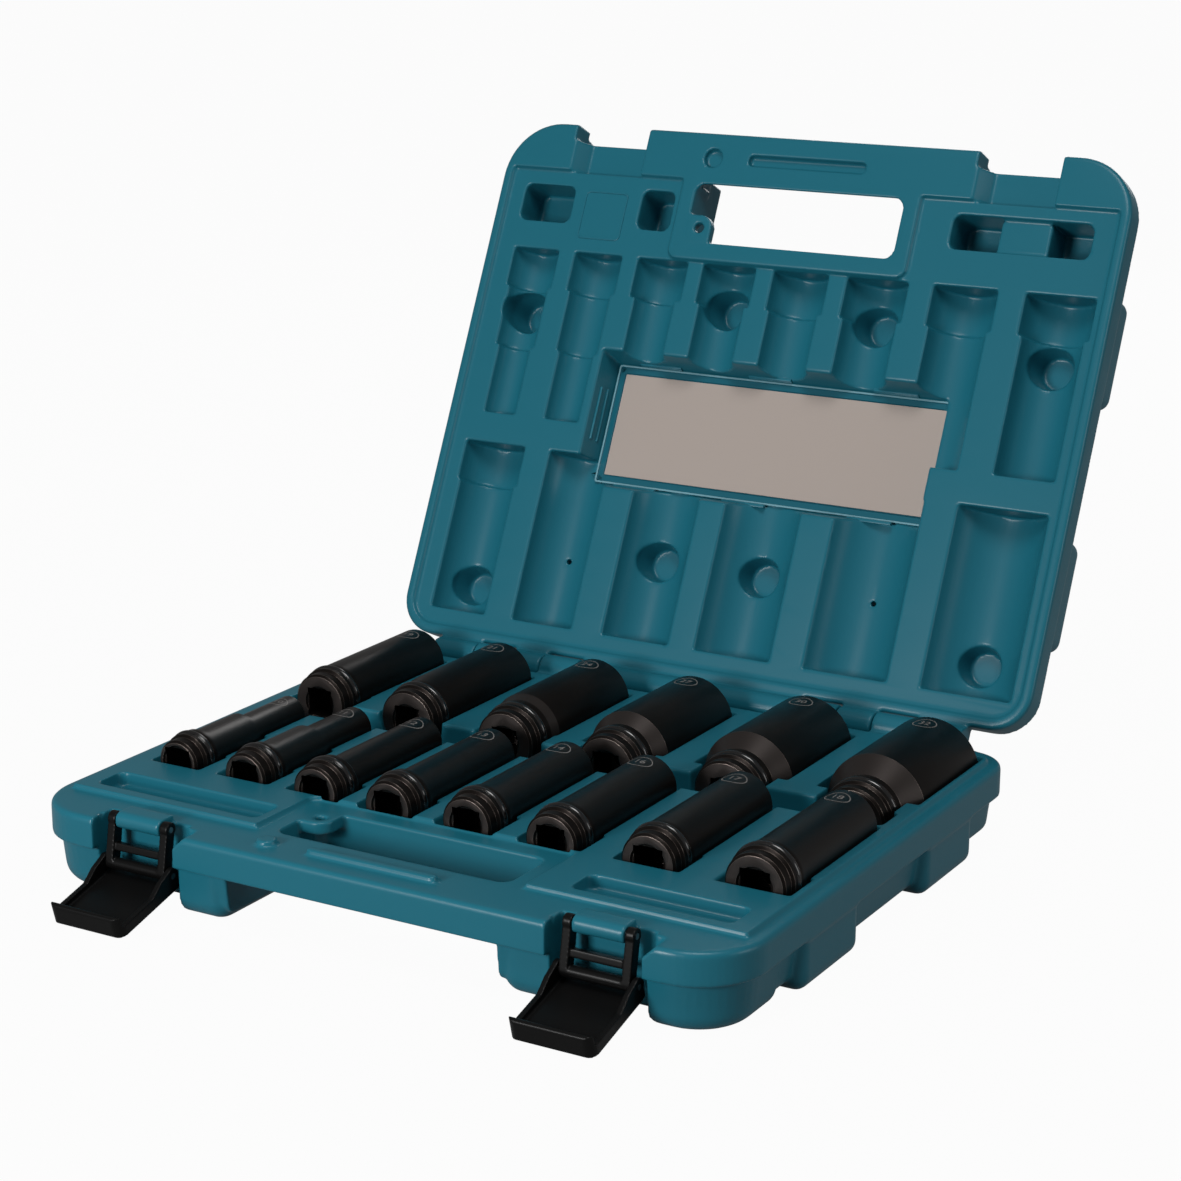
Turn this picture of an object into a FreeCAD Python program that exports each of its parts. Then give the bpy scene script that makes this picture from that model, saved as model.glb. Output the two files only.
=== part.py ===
import FreeCAD, Part
import math
import os

V = FreeCAD.Vector
os.makedirs("parts", exist_ok=True)

# Case outline, millimetres. X runs along the latch edge, Y from latches to hinge, Z up from the floor.
case_w = 322.0
case_d = 258.0
front_r = 28.0
rear_r = 18.0
half_w = case_w / 2
y_front = -case_d / 2
y_rear = case_d / 2

# Heights of the two halves about the parting plane.
rim_z = 34.0
belt_h = 13.5
body_inset = 3.5
body_draft = 2.0
base_floor = 4.0
floor_r = 5.0
foot_d = 45.0
foot_r = 8.0
foot_corner_r = 8.5
foot_edge_r = 5.0
pad_w = 80.0
pad_d = 60.0
lid_h = 30.0
lid_body_h = 28.0
part_gap = 0.4
tray_rise = 2.0
tray_z = rim_z + tray_rise
tray_front = 24.0
panel_gap = 0.5
rim_margin = 5.0

# Lid angle from closed at rest and the hinge line behind the rear wall.
lid_open = 115.3
hinge_off = 7.0
hinge_y = y_rear + hinge_off
knuckle_r = 6.4
base_knuckle_r = 6.7
hinge_pin_r = 1.6
run_gap = 0.07
base_knuckles = [(57.0, 75.5), (94.0, 112.0)]
lid_knuckles = [(76.0, 93.5), (112.5, 135.0)]
centre_knuckle = 56.5

# Handle bar, finger window and the small mating details on the bar.
bar_w = 25.4
win_w = 107.0
win_d = 28.8
win_r = 5.0
win_y0 = y_front + bar_w
win_y1 = win_y0 + win_d
under_x = 62.0
shelf_x = 62.0
shelf_d = 9.0
shelf_r = 5.0
rib_x0 = -28.5
rib_x1 = 30.5
rib_y = y_front + 12.5
rib_w = 4.0
rib_h = 2.4
boss_x = -48.0
boss_r = 4.0
boss_h = 2.4
mate_gap = 0.6
tab_x = -47.3
tab_y = win_y1 - 7.2
tab_r = 6.2
tab_t = 5.0
lock_hole_r = 2.6

# Pockets near the latch edge: ends along X, then setback, depth along Y and depth along Z.
tray_pockets = [(-147.0, -66.0), (78.0, 146.0)]
tray_pocket_in = 29.5
tray_pocket_d = 16.0
tray_pocket_deep = 6.0
lid_pockets = [(-147.5, -119.5, 31.0, 18.5, 19.5), (-82.0, -64.5, 30.0, 19.5, 19.5)]
lid_long_pocket = (78.5, 145.0, 30.0, 16.5, 21.0)
lid_block = (101.0, 125.0, 2.5)
pocket_r = 4.0

# Latch notches and the two-piece latches.
notch_x = 105.0
notch_w = 40.0
notch_d = 13.0
catch_ledge = 8.0
lid_sink = 8.0
lid_sink_y = y_front + tray_front
sink_slope = 7.0
link_in = 6.6
link_drop = 0.5
link_l = 18.0
link_arm_x = 13.0
link_arm_w = 3.6
link_t = 5.0
link_r = 3.0
catch_r = 3.5
catch_half = 10.8
latch_pin_r = 1.2
link_rest = 10.0
plate_rest = 105.2
plate_l = 35.2
plate_t = 2.5
plate_off = 6.5
plate_lip = 9.0
lip_r = 2.4
plate_half = 17.6
flange_t = 2.3
flange_r = 3.4

# Sockets: size, nut-end diameter, drive-end diameter, axis position along X, shape of the body.
sock_l = 80.0
row1_y = -63.9
row2_y = 34.2
front_row = [
    (10, 15.6, 22.0, -133.6, "nose"),
    (11, 17.0, 23.0, -98.9, "nose"),
    (12, 19.6, 24.0, -63.5, "step"),
    (13, 21.4, 24.5, -27.9, "step"),
    (14, 22.8, 25.0, 9.4, "step"),
    (16, 24.6, 25.4, 48.1, "plain"),
    (17, 25.8, 26.0, 91.1, "plain"),
    (18, 26.8, 28.0, 136.3, "plain"),
]
back_row = [
    (19, 28.4, 28.4, -131.5, "plain"),
    (21, 31.0, 29.6, -84.7, "cone"),
    (24, 33.6, 30.0, -34.5, "cone"),
    (27, 38.2, 30.0, 15.9, "cone"),
    (30, 41.6, 31.0, 72.2, "cone"),
    (32, 43.6, 31.0, 130.0, "cone"),
]
top_limit = 16.6
drive_sq = 12.7
drive_depth = 17.0
hex_depth = 34.0
hex_slack = 0.25
neck_at = 14.0
step_end = 17.0
cone_at = 15.0
waist_at = 43.0
waist_end = 47.0
waist_deep = 1.2
ring_at = 8.2
ring_w = 3.2
ring_deep = 1.5
ring_proud = 0.7
pocket_gap = 0.9
end_gap = 1.6
trough_y0 = row1_y + sock_l + end_gap
trough_y1 = row2_y + 2.6
trough_deep = 10.0
trough_x = 150.0

# Lid recesses and the label set between the rows.
lid_gap = 0.9
collar_step = 0.9
well_r = 10.2
well_foot = 7.6
well_neck = 14.0
well_end = 25.4
wells = [(-135.2, -35.4), (-28.9, -47.2), (47.2, -46.6), (134.5, -35.4),
         (-133.0, 101.0), (-37.2, 76.1), (15.3, 76.1), (129.3, 100.5)]
vent_r = 1.2
vents = [(-85.7, 82.3), (72.8, 80.1)]
label_x0 = -81.0
label_x1 = 88.0
label_y0 = -15.6
label_y1 = 42.4
label_z = rim_z + 17.4
label_t = 1.2
label_lip = 4.2
panel_t = 0.5
label_slope = 4.5
clip_x = [-55.0, 4.0, 62.0]
clip_half = 4.0


def box(x0, x1, y0, y1, z0, z1):
    return Part.makeBox(x1 - x0, y1 - y0, z1 - z0, V(x0, y0, z0))


def rbox(x0, x1, y0, y1, z0, z1, r):
    # Box with its four upright edges rounded.
    r = min(r, (x1 - x0) / 2 - 0.05, (y1 - y0) / 2 - 0.05)
    b = box(x0, x1, y0, y1, z0, z1)
    return b.makeFillet(r, [e for e in b.Edges if is_upright(e)])


def cyl_x(r, x0, x1, y, z):
    return Part.makeCylinder(r, x1 - x0, V(x0, y, z), V(1, 0, 0))


def cyl_y(r, y0, y1, x, z):
    return Part.makeCylinder(r, y1 - y0, V(x, y0, z), V(0, 1, 0))


def cyl_z(r, z0, z1, x, y):
    return Part.makeCylinder(r, z1 - z0, V(x, y, z0), V(0, 0, 1))


def outline(inset, z):
    # Rounded-rectangle wire of the case at one height, drawn in from the belt face.
    x = half_w - inset
    y0 = y_front + inset
    y1 = y_rear - inset
    rf = max(front_r - inset, 2.0)
    rr = max(rear_r - inset, 2.0)
    q = math.sqrt(0.5)

    def arc(cx, cy, r, sx, sy, first):
        a = V(cx + sx * r, cy, z)
        b = V(cx, cy + sy * r, z)
        m = V(cx + sx * r * q, cy + sy * r * q, z)
        return Part.Arc(a, m, b).toShape() if first else Part.Arc(b, m, a).toShape()

    edges = [
        Part.makeLine(V(-x + rf, y0, z), V(x - rf, y0, z)),
        arc(x - rf, y0 + rf, rf, 1, -1, False),
        Part.makeLine(V(x, y0 + rf, z), V(x, y1 - rr, z)),
        arc(x - rr, y1 - rr, rr, 1, 1, True),
        Part.makeLine(V(x - rr, y1, z), V(-x + rr, y1, z)),
        arc(-x + rr, y1 - rr, rr, -1, 1, False),
        Part.makeLine(V(-x, y1 - rr, z), V(-x, y0 + rf, z)),
        arc(-x + rf, y0 + rf, rf, -1, -1, True),
    ]
    return Part.Wire(edges)


def prism(inset, z0, z1):
    return Part.Face(outline(inset, z0)).extrude(V(0, 0, z1 - z0))


def drafted(in0, z0, in1, z1):
    return Part.makeLoft([outline(in0, z0), outline(in1, z1)], True, True)


def edges_at(shape, z, tol=0.01):
    return [e for e in shape.Edges if all(abs(v.Z - z) < tol for v in e.Vertexes)]


def is_upright(edge):
    return abs(edge.Vertexes[0].Z - edge.Vertexes[-1].Z) > 0.1


def at_point(edge, x, y, tol=0.01):
    return all(abs(v.X - x) < tol and abs(v.Y - y) < tol for v in edge.Vertexes)


def reaches(edge, x, y, tol=0.01):
    # True for an edge that lies along the plane at x or the plane at y, or rounds the corner between them.
    on_x = any(abs(v.X - x) < tol for v in edge.Vertexes)
    on_y = any(abs(v.Y - y) < tol for v in edge.Vertexes)
    along_x = all(abs(v.X - x) < tol for v in edge.Vertexes)
    along_y = all(abs(v.Y - y) < tol for v in edge.Vertexes)
    return (on_x and on_y) or along_x or along_y


def sock_axis(nut_d, drive_d):
    # The tray level, unless the socket is so wide that the lid would not close over it.
    r = max(nut_d, drive_d + 2 * ring_proud) / 2
    return min(tray_z, rim_z + top_limit - r)


def sock_profile(nut_d, drive_d, kind):
    # Outer radius against distance from the drive face.
    n = nut_d / 2
    d = drive_d / 2
    nose = d - 1.2
    pts = [(nose - 1.0, 0.0), (nose, 1.0), (nose, 5.2), (d, 6.2)]
    if kind == "nose":
        waist = d - waist_deep
        pts += [(d, neck_at), (waist, step_end), (waist, waist_at), (n, waist_end), (n, sock_l - 0.8)]
    elif kind == "step":
        pts += [(d, neck_at), (n, step_end), (n, sock_l - 0.8)]
    elif kind == "cone":
        rise = max(4.0, (n - d) * 1.35)
        pts += [(d, cone_at), (n, cone_at + rise), (n, sock_l - 0.8)]
    else:
        pts += [(d, neck_at), (n, step_end), (n, sock_l - 0.8)]
    pts += [(n - 0.8, sock_l)]
    return pts


def revolve_y(pts, x, y, z):
    # Turn a radius and length profile about an axis along Y.
    v = [V(0, 0, 0)] + [V(r, s, 0) for r, s in pts] + [V(0, pts[-1][1], 0)]
    face = Part.Face(Part.makePolygon(v + [v[0]]))
    solid = face.revolve(V(0, 0, 0), V(0, 1, 0), 360)
    solid.translate(V(x, y, z))
    return solid


def hex_prism(across, y0, y1, x, z):
    r = across / math.sqrt(3)
    turns = [math.radians(60 * i) for i in range(7)]
    v = [V(x + r * math.cos(t), y0, z + r * math.sin(t)) for t in turns]
    return Part.Face(Part.makePolygon(v)).extrude(V(0, y1 - y0, 0))


def tube_envelope(r, y0, y1, x, z, toward):
    # Pocket that holds a round bar and lets it out along Z.
    c = cyl_y(r, y0, y1, x, z)
    b = box(x - r, x + r, y0, y1, min(z, z + toward), max(z, z + toward))
    return c.fuse(b).removeSplitter()


def socket_room(ys, nut_d, drive_d, x, kind, gap, collar, toward):
    # Pocket for one socket in either half: a collar round the drive end, then stepped like the socket itself.
    # A wide one keeps its largest width from end to end.
    za = sock_axis(nut_d, drive_d)
    low = toward - za
    rd = drive_d / 2 + ring_proud + collar
    rn = nut_d / 2 + gap
    end = ys + sock_l + end_gap
    if kind == "wide":
        return tube_envelope(max(rd, rn), ys - end_gap, end, x, za, low)
    if kind == "cone":
        neck = ys + cone_at - gap
    else:
        neck = ys + step_end + gap
    room = tube_envelope(rd, ys - end_gap, neck, x, za, low)
    if kind != "nose":
        return room.fuse(tube_envelope(rn, neck - 0.1, end, x, za, low))
    rw = drive_d / 2 - waist_deep + gap
    tail = ys + waist_end + gap
    room = room.fuse(tube_envelope(rw, neck - 0.1, tail, x, za, low))
    return room.fuse(tube_envelope(rn, tail - 0.1, end, x, za, low))


def side_lobes(z0, z1, inset, r):
    # Rounded lugs standing out of the lower body, two on each side wall.
    out = []
    for sx in (-1, 1):
        for yc in (-46.0, 64.0):
            xa = sx * (half_w - inset)
            xb = sx * (half_w - 46.0)
            b = box(min(xa, xb), max(xa, xb), yc - 25.0, yc + 25.0, z0, z1)
            out.append(b.makeFillet(r, b.Edges))
    return out


def latch_places():
    return [("left", -notch_x), ("right", notch_x)]


link_y = y_front + link_in
link_z = rim_z - link_drop
sockets = [(row1_y,) + s for s in front_row] + [(row2_y,) + s for s in back_row]


def lower_body(z_low, round_r):
    # Drafted body under the belt, rounded where its walls meet the underside.
    body = drafted(body_inset + body_draft, z_low, body_inset, rim_z - belt_h)
    return body.makeFillet(round_r, edges_at(body, z_low))


def make_feet():
    # Blocks beside the window and at the front corners, flush under the belt and standing on the floor.
    y0 = y_front + body_inset
    y1 = y_front + foot_d
    top = rim_z - belt_h
    full = lower_body(0.0, foot_r)
    feet = []
    for sx in (-1, 1):
        xa = sx * under_x
        xb = sx * (notch_x - notch_w / 2)
        f = box(min(xa, xb), max(xa, xb), y0, y1, 0, top)
        f = f.makeFillet(foot_corner_r, [e for e in f.Edges if is_upright(e) and at_point(e, xa, y0)])
        f = f.makeFillet(foot_r, [e for e in edges_at(f, 0.0) if reaches(e, xa, y0)])
        feet.append(f)
        xa = sx * (notch_x + notch_w / 2)
        xb = sx * (half_w + 1)
        f = box(min(xa, xb), max(xa, xb), y_front - 1, y1, 0, top)
        inner = [e for e in edges_at(f, 0.0) if all(abs(v.X - xa) < 0.01 for v in e.Vertexes)]
        f = f.makeFillet(foot_edge_r, inner)
        feet.append(f.common(full))
    return feet


def make_base():
    belt = prism(0, rim_z - belt_h, rim_z)
    belt = belt.makeFillet(2.2, edges_at(belt, rim_z))
    low_top = rim_z - belt_h
    body = lower_body(base_floor, floor_r)
    body = body.cut(box(-under_x, under_x, y_front - 5, win_y1, -1, low_top))
    shell = belt.fuse([body] + make_feet() + side_lobes(0.0, low_top + 8.0, 0.6, 5.5))
    pad = box(-pad_w / 2, pad_w / 2, -pad_d / 2, pad_d / 2, 0, base_floor + 6.0)
    shell = shell.fuse(pad.makeFillet(2.5, pad.Edges))
    tray = drafted(rim_margin, rim_z - 1.0, rim_margin + 1.2, tray_z)
    tray = tray.cut(box(-half_w, half_w, y_front, y_front + tray_front, rim_z, tray_z + 1))
    tray = tray.cut(rbox(-shelf_x, shelf_x, y_front, win_y1 + shelf_d, rim_z, tray_z + 1, shelf_r))
    shell = shell.fuse(tray)
    shell = shell.cut(rbox(-win_w / 2, win_w / 2, win_y0, win_y1, -1, tray_z + 1, win_r))
    # Notches for the latches, with the inner corners left clear for the link arms.
    for _, nx in latch_places():
        a = nx - notch_w / 2
        b = nx + notch_w / 2
        shell = shell.cut(box(a, b, y_front - 1, y_front + notch_d, -1, tray_z + 1))
        flare = Part.makePolygon([V(b - 1, y_front - 1, rim_z - 6), V(b + 5.5, y_front - 1, rim_z + 0.1),
                                  V(b - 1, y_front - 1, rim_z + 0.1), V(b - 1, y_front - 1, rim_z - 6)])
        shell = shell.cut(Part.Face(flare).extrude(V(0, notch_d - 2, 0)))
    # Long shallow pockets on the front platforms.
    py = y_front + tray_pocket_in
    for xa, xb in tray_pockets:
        z_low = tray_z - tray_pocket_deep
        shell = shell.cut(rbox(xa, xb, py, py + tray_pocket_d, z_low, tray_z + 1, pocket_r))
    # Socket pockets and the finger trough between the rows.
    for ys, size, nut_d, drive_d, x, kind in sockets:
        room = socket_room(ys, nut_d, drive_d, x, kind, pocket_gap, pocket_gap, tray_z + 1)
        shell = shell.cut(room)
    shell = shell.cut(rbox(-trough_x, trough_x, trough_y0, trough_y1, tray_z - trough_deep, tray_z + 1, 5.0))
    # Rib and boss that meet the lid, latch catches and hinge knuckles.
    add = [rbox(rib_x0, rib_x1, rib_y - rib_w / 2, rib_y + rib_w / 2, rim_z - 1, rim_z + rib_h, 1.8)]
    add.append(cyl_z(boss_r, rim_z - 1, rim_z + boss_h, boss_x, rib_y))
    for _, nx in latch_places():
        bar = cyl_x(catch_r, nx - catch_half, nx + catch_half, link_y, link_z)
        y_back = y_front + notch_d + 0.5
        web = box(nx - catch_half, nx + catch_half, link_y, y_back, link_z - 0.5, link_z + catch_r)
        add.append(bar.fuse(web))
    for a, b in base_knuckles:
        for sx in (-1, 1):
            xa = min(sx * a, sx * b)
            xb = max(sx * a, sx * b)
            k = cyl_x(base_knuckle_r, xa, xb, hinge_y, rim_z)
            add.append(k.fuse(box(xa, xb, y_rear - 4.0, hinge_y, rim_z - base_knuckle_r, rim_z)))
    shell = shell.fuse(add)
    shell = shell.cut(cyl_x(hinge_pin_r, -half_w, half_w, hinge_y, rim_z))
    for _, nx in latch_places():
        shell = shell.cut(cyl_x(latch_pin_r, nx - notch_w / 2 - 1, nx + notch_w / 2 + 1, link_y, link_z))
    return shell.removeSplitter()


def make_ear(z0, z1):
    # Ear in the rear left corner of the window, pierced for a padlock.
    ear = cyl_z(tab_r, z0, z1, tab_x, tab_y)
    ear = ear.fuse(box(-win_w / 2, tab_x, tab_y - tab_r, win_y1, z0, z1))
    ear = ear.fuse(box(tab_x, tab_x + tab_r, tab_y, win_y1, z0, z1))
    ear = ear.cut(cyl_z(lock_hole_r, z0 - 1, z1 + 1, tab_x, tab_y))
    # The window's rounded corner stays with the case half.
    corner = rbox(-win_w / 2, win_w / 2, win_y0, win_y1, z0 - 1, z1 + 1, win_r)
    return ear.common(corner).removeSplitter()


def make_well(x, y):
    # Round well through a recess floor, tapered to a flat foot near the outer wall.
    neck = cyl_z(well_r, tray_z, rim_z + well_neck, x, y)
    taper = Part.makeCone(well_r, well_foot, well_end - well_neck, V(x, y, rim_z + well_neck), V(0, 0, 1))
    return neck.fuse(taper)


def make_lid():
    # Drawn closed over the base, then swung open.
    z0 = rim_z + part_gap
    zb = rim_z + belt_h
    belt = prism(0, z0, zb)
    belt = belt.makeFillet(2.0, edges_at(belt, z0))
    body = drafted(body_inset, zb, body_inset + body_draft, rim_z + lid_body_h)
    body = body.makeFillet(foot_r, edges_at(body, rim_z + lid_body_h))
    body = body.cut(box(-under_x, under_x, y_front - 5, win_y1, zb, rim_z + lid_h + 5))
    lobes = side_lobes(rim_z + lid_h - 22.0, rim_z + lid_h, 1.6, 5.5)
    shell = belt.fuse([body] + lobes)
    panel = drafted(rim_margin - panel_gap - 0.4, z0 - 1.0, rim_margin + 0.4, tray_z + panel_gap)
    panel = panel.cut(box(-half_w, half_w, y_front, y_front + tray_front - 0.6, 0, tray_z + 5))
    shelf = shelf_x - 0.6
    panel = panel.cut(rbox(-shelf, shelf, y_front, win_y1 + shelf_d - 0.6, 0, tray_z + 5, shelf_r))
    shell = shell.cut(panel)
    shell = shell.cut(rbox(-win_w / 2, win_w / 2, win_y0, win_y1, 0, rim_z + lid_h + 5, win_r))
    for _, nx in latch_places():
        a = nx - notch_w / 2
        b = nx + notch_w / 2
        shell = shell.cut(box(a, b, y_front - 1, y_front + catch_ledge, 0, rim_z + lid_h + 5))
        shell = shell.cut(box(a, b, y_front, y_front + notch_d, zb, rim_z + lid_h + 5))
        zs = rim_z + lid_sink
        corners = [(a, z0 - 1), (a + sink_slope, zs), (b, zs), (b, z0 - 1), (a, z0 - 1)]
        sink = [V(px, y_front - 1, pz) for px, pz in corners]
        shell = shell.cut(Part.Face(Part.makePolygon(sink)).extrude(V(0, lid_sink_y - y_front + 1, 0)))
    # Pockets near the latch edge.
    zp = tray_z + panel_gap
    for xa, xb, inset, deep_y, deep_z in lid_pockets:
        py = y_front + inset
        shell = shell.cut(rbox(xa, xb, py, py + deep_y, z0 - 1, zp + deep_z, pocket_r))
    xa, xb, inset, deep_y, deep_z = lid_long_pocket
    py = y_front + inset
    room = rbox(xa, xb, py, py + deep_y, z0 - 1, zp + deep_z, pocket_r)
    xa, xb, block_z = lid_block
    block = rbox(xa, xb, py + 0.5, py + deep_y + pocket_r, zp + block_z, zp + deep_z + 1, 2.0)
    shell = shell.cut(room.cut(block))
    # Recesses over the sockets.
    for ys, size, nut_d, drive_d, x, kind in sockets:
        shape = "wide" if kind == "cone" else kind
        collar = lid_gap + collar_step if kind == "plain" else lid_gap
        shell = shell.cut(socket_room(ys, nut_d, drive_d, x, shape, lid_gap, collar, rim_z - 2))
    for x, y in wells:
        shell = shell.cut(make_well(x, y))
    for x, y in vents:
        shell = shell.cut(cyl_z(vent_r, rim_z + 12.0, rim_z + lid_h + 2, x, y))
    # Sloped window for the label.
    s = label_slope
    low_w = Part.makePolygon([V(label_x0 - s, label_y0 - s, rim_z), V(label_x1 + s, label_y0 - s, rim_z),
                              V(label_x1 + s, label_y1 + s, rim_z), V(label_x0 - s, label_y1 + s, rim_z),
                              V(label_x0 - s, label_y0 - s, rim_z)])
    e = 0.4
    high_w = Part.makePolygon([V(label_x0 - e, label_y0 - e, label_z), V(label_x1 + e, label_y0 - e, label_z),
                               V(label_x1 + e, label_y1 + e, label_z), V(label_x0 - e, label_y1 + e, label_z),
                               V(label_x0 - e, label_y0 - e, label_z)])
    shell = shell.cut(Part.makeLoft([low_w, high_w], True, True))
    add = []
    for sx in (-1, 1):
        for a, b in lid_knuckles:
            xa = min(sx * a, sx * b)
            xb = max(sx * a, sx * b)
            k = cyl_x(knuckle_r, xa, xb, hinge_y, rim_z)
            add.append(k.fuse(box(xa, xb, y_rear - 4.0, hinge_y, z0, rim_z + knuckle_r)))
    k = cyl_x(knuckle_r, -centre_knuckle, centre_knuckle, hinge_y, rim_z)
    add.append(k.fuse(box(-centre_knuckle, centre_knuckle, y_rear - 4.0, hinge_y, z0, rim_z + knuckle_r)))
    shell = shell.fuse(add)
    # Groove and dimple over the rib and boss, and the pin bore.
    m = mate_gap
    shell = shell.cut(rbox(rib_x0 - m, rib_x1 + m, rib_y - rib_w / 2 - m, rib_y + rib_w / 2 + m,
                           z0 - 1, rim_z + rib_h + 1.2, 2.0))
    shell = shell.cut(cyl_z(boss_r + m, z0 - 1, rim_z + boss_h + 1.2, boss_x, rib_y))
    shell = shell.cut(cyl_x(hinge_pin_r + run_gap, -half_w, half_w, hinge_y, rim_z))
    return shell.removeSplitter()


def swing_lid(shape):
    shape.rotate(V(0, hinge_y, rim_z), V(1, 0, 0), -lid_open)
    return shape


def make_label():
    # Clear frame with small clips, and the bare panel it holds.
    frame = rbox(label_x0, label_x1, label_y0, label_y1, label_z - label_t, label_z, 3.0)
    w = label_lip
    seat = box(label_x0 + w, label_x1 - w, label_y0 + w, label_y1 - w,
               label_z - label_t - 1, label_z - label_t + panel_t)
    frame = frame.cut(seat)
    zc = label_z - label_t
    for x in clip_x:
        for ya, yb in ((label_y0 + 0.2, label_y0 + w + 2.5), (label_y1 - w - 2.5, label_y1 - 0.2)):
            frame = frame.fuse(box(x - clip_half, x + clip_half, ya, yb, zc - 0.9, zc))
    panel = box(label_x0 + w, label_x1 - w, label_y0 + w, label_y1 - w,
                label_z - label_t, label_z - label_t + panel_t)
    return frame.removeSplitter(), panel


def make_socket(ys, size, nut_d, drive_d, x, kind):
    za = sock_axis(nut_d, drive_d)
    body = revolve_y(sock_profile(nut_d, drive_d, kind), x, ys, za)
    d = drive_d / 2
    groove = cyl_y(d + 3, ys + ring_at, ys + ring_at + ring_w, x, za)
    groove = groove.cut(cyl_y(d - ring_deep, ys + ring_at - 1, ys + ring_at + ring_w + 1, x, za))
    body = body.cut(groove)
    h = drive_sq / 2
    sq = box(x - h, x + h, ys - 1, ys + drive_depth, za - h, za + h)
    lead = Part.makeCone(h * 1.3, h * 1.0, 1.6, V(x, ys - 0.01, za), V(0, 1, 0))
    body = body.cut(sq.fuse(lead))
    across = size + hex_slack
    y_hex = ys + sock_l - hex_depth
    body = body.cut(hex_prism(across, y_hex, ys + sock_l + 1, x, za))
    y_lead = ys + sock_l - 2.5 + 0.01
    body = body.cut(Part.makeCone(size * 0.44, size * 0.62, 2.5, V(x, y_lead, za), V(0, 1, 0)))
    through = min(drive_sq / 2, size / 2) - 0.6
    body = body.cut(cyl_y(through, ys + drive_depth - 1, y_hex + 1, x, za))
    # O-ring: flat seat on the groove floor, rounded outside.
    ri = d - ring_deep
    ro = d + ring_proud
    a = 0.15
    mid = ring_w / 2
    rk = ro - 0.9
    prof = [Part.makeLine(V(ri, a, 0), V(rk, a, 0)),
            Part.Arc(V(rk, a, 0), V(ro, mid, 0), V(rk, ring_w - a, 0)).toShape(),
            Part.makeLine(V(rk, ring_w - a, 0), V(ri, ring_w - a, 0)),
            Part.makeLine(V(ri, ring_w - a, 0), V(ri, a, 0))]
    ring = Part.Face(Part.Wire(prof)).revolve(V(0, 0, 0), V(0, 1, 0), 360)
    ring.translate(V(x, ys + ring_at, za))
    return body, ring


def lies_at(edge, y, z=None):
    # True for a long edge along X at the given depth and, where it is given, the given height.
    a = edge.Vertexes[0]
    b = edge.Vertexes[-1]
    on_z = z is None or abs(a.Z - z) < 0.01
    return abs(a.X - b.X) > 5 and abs(a.Y - y) < 0.01 and abs(b.Y - y) < 0.01 and on_z


def make_latch(nx):
    # Drawn closed: link hanging from the catch, plate standing up outside it.
    by = link_y
    bz = link_z - link_l
    arm_in = link_arm_x - link_arm_w / 2
    arm_out = link_arm_x + link_arm_w / 2
    link = None
    for sx in (-1, 1):
        xa = min(sx * arm_in, sx * arm_out) + nx
        xb = max(sx * arm_in, sx * arm_out) + nx
        arm = box(xa, xb, by - link_t / 2, by + link_t / 2, bz, link_z)
        arm = arm.fuse([cyl_x(link_r, xa, xb, by, link_z), cyl_x(link_t / 2, xa, xb, by, bz)])
        link = arm if link is None else link.fuse(arm)
    low = cyl_x(link_t / 2, nx - arm_in - 0.5, nx + arm_in + 0.5, by, bz)
    mid = rbox(nx - arm_in - 0.5, nx + arm_in + 0.5, by - 1.8, by + 1.8, bz + 5.4, bz + 8.6, 1.0)
    link = link.fuse([low, mid])
    link = link.cut(cyl_x(latch_pin_r + run_gap, nx - 30, nx + 30, by, link_z))
    link = link.cut(cyl_x(latch_pin_r + run_gap, nx - 30, nx + 30, by, bz)).removeSplitter()
    top = bz + plate_l
    ya = by - plate_off
    plate = box(nx - plate_half, nx + plate_half, ya, ya + plate_t, bz - 2.0, top)
    lip = box(nx - plate_half, nx + plate_half, ya, ya + plate_lip, top - 2.8, top)
    lip = lip.makeFillet(lip_r, [e for e in lip.Edges if lies_at(e, ya, top)])
    lip = lip.makeFillet(1.3, [e for e in lip.Edges if lies_at(e, ya + plate_lip)])
    plate = plate.makeFillet(1.0, [e for e in plate.Edges if abs(e.Vertexes[0].X - e.Vertexes[1].X) > 5])
    plate = plate.fuse(lip)
    for sx in (-1, 1):
        xa = min(sx * (plate_half - flange_t), sx * plate_half) + nx
        xb = max(sx * (plate_half - flange_t), sx * plate_half) + nx
        side = [V(xa, ya + 0.5, bz - 3.0), V(xa, by + 1.5, bz - 3.0), V(xa, by + flange_r, bz),
                V(xa, by + 1.5, bz + 7.5), V(xa, ya + plate_t + 2.2, bz + 14.0),
                V(xa, ya + plate_t + 2.2, top - 1.5), V(xa, ya + 0.5, top - 1.5)]
        f = Part.Face(Part.makePolygon(side + [side[0]])).extrude(V(xb - xa, 0, 0))
        plate = plate.fuse([f, cyl_x(flange_r, xa, xb, by, bz)])
    plate = plate.cut(cyl_x(latch_pin_r, nx - 30, nx + 30, by, bz)).removeSplitter()
    pin_a = cyl_x(latch_pin_r, nx - arm_out, nx + arm_out, by, link_z)
    pin_b = cyl_x(latch_pin_r, nx - plate_half, nx + plate_half, by, bz)
    # Swing plate and pin about the lower pivot, then everything about the upper one.
    for s in (plate, pin_b):
        s.rotate(V(0, by, bz), V(1, 0, 0), plate_rest + link_rest)
    for s in (plate, pin_b, link):
        s.rotate(V(0, link_y, link_z), V(1, 0, 0), -link_rest)
    return link, plate, pin_a, pin_b


def save(shape, name):
    shape.exportStep("parts/" + name + ".step")


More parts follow.
